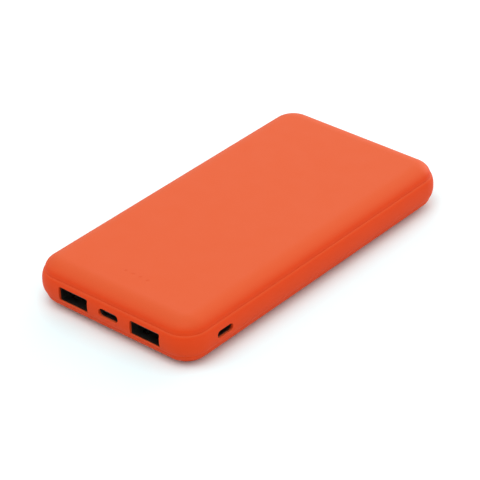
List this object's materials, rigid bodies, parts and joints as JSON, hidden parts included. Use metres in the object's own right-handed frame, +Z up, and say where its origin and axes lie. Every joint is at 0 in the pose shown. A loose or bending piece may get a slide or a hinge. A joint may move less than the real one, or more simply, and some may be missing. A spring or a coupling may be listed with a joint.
{
  "type": "power bank",
  "caption": "Slim power bank with crowned covers round an upright band, wide charging ports in one end, a side port and a sprung power button.",
  "frame": {"origin": "centre of the flat underside, on the surface it rests on", "axes": "+X across the width, +Y away from the port end, +Z up"},
  "size_m": [0.07, 0.135, 0.0166],
  "materials": {
    "soft_touch_shell": "soft-touch coated ABS, coral orange",
    "soft_touch_button": "soft-touch coated ABS, coral orange",
    "board_laminate": "green solder mask on glass-epoxy laminate",
    "zinc_screw": "zinc-plated steel",
    "nickel_shell": "nickel-plated steel sheet",
    "black_nylon": "moulded black nylon",
    "gold_contact": "gold-flashed copper alloy",
    "switch_black": "moulded black",
    "switch_white": "moulded white",
    "indicator_lens": "milky diffuser",
    "clear_guide": "clear polycarbonate",
    "black_foam": "closed-cell foam",
    "ferrite": "sintered ferrite",
    "chip_epoxy": "black epoxy",
    "capacitor_can": "drawn aluminium can",
    "ceramic_tan": "fired ceramic",
    "resistor_black": "glazed black",
    "pouch_foil": "aluminium laminate pouch",
    "nickel_tab": "nickel strip",
    "white_tape": "double-sided tape",
    "solder": "bright solder",
    "white_lead": "PVC insulation",
    "black_lead": "silicone insulation",
    "red_lead": "silicone insulation",
    "sensor_bead": "epoxy bead"
  },
  "bodies": {
    "case": {"battery_cell": "pouch_foil", "board_screws": "zinc_screw", "boost_inductor": "ferrite", "bottom_cover": "soft_touch_shell", "cell_tape": "white_tape", "ceramic_capacitors": "ceramic_tan", "foam_pads": "black_foam", "indicator_leds": "indicator_lens", "lead_solder": "solder", "light_guide": "clear_guide", "light_shield": "black_foam", "main_board": "board_laminate", "micro_usb_contacts": "gold_contact", "micro_usb_insulator": "black_nylon", "micro_usb_shell": "nickel_shell", "middle_frame": "soft_touch_shell", "negative_lead": "black_lead", "negative_tab": "nickel_tab", "polymer_capacitors": "capacitor_can", "positive_lead": "red_lead", "positive_tab": "nickel_tab", "power_controller": "chip_epoxy", "power_mosfets": "chip_epoxy", "protection_board": "board_laminate", "protection_chips": "chip_epoxy", "resistors": "resistor_black", "switch_body": "switch_black", "thermistor": "sensor_bead", "thermistor_lead": "white_lead", "top_cover": "soft_touch_shell", "usb_a_left_contacts": "gold_contact", "usb_a_left_insulator": "black_nylon", "usb_a_left_shell": "nickel_shell", "usb_a_right_contacts": "gold_contact", "usb_a_right_insulator": "black_nylon", "usb_a_right_shell": "nickel_shell", "usb_c_contacts": "gold_contact", "usb_c_insulator": "black_nylon", "usb_c_shell": "nickel_shell"},
    "button": {"power_button": "soft_touch_button"},
    "plunger": {"switch_plunger": "switch_white"}
  },
  "joints": [
    {"name": "button_press", "type": "slide", "parent": "case", "child": "button", "axis": [1, 0, 0], "range_m": [0, 0.0003], "stiffness_N_per_m": 4000},
    {"name": "plunger_press", "type": "slide", "parent": "case", "child": "plunger", "axis": [1, 0, 0], "range_m": [0, 0.0003], "stiffness_N_per_m": 1000}
  ],
  "couplings": [
    {"joint": "plunger_press", "follows": "button_press", "ratio": 1}
  ]
}
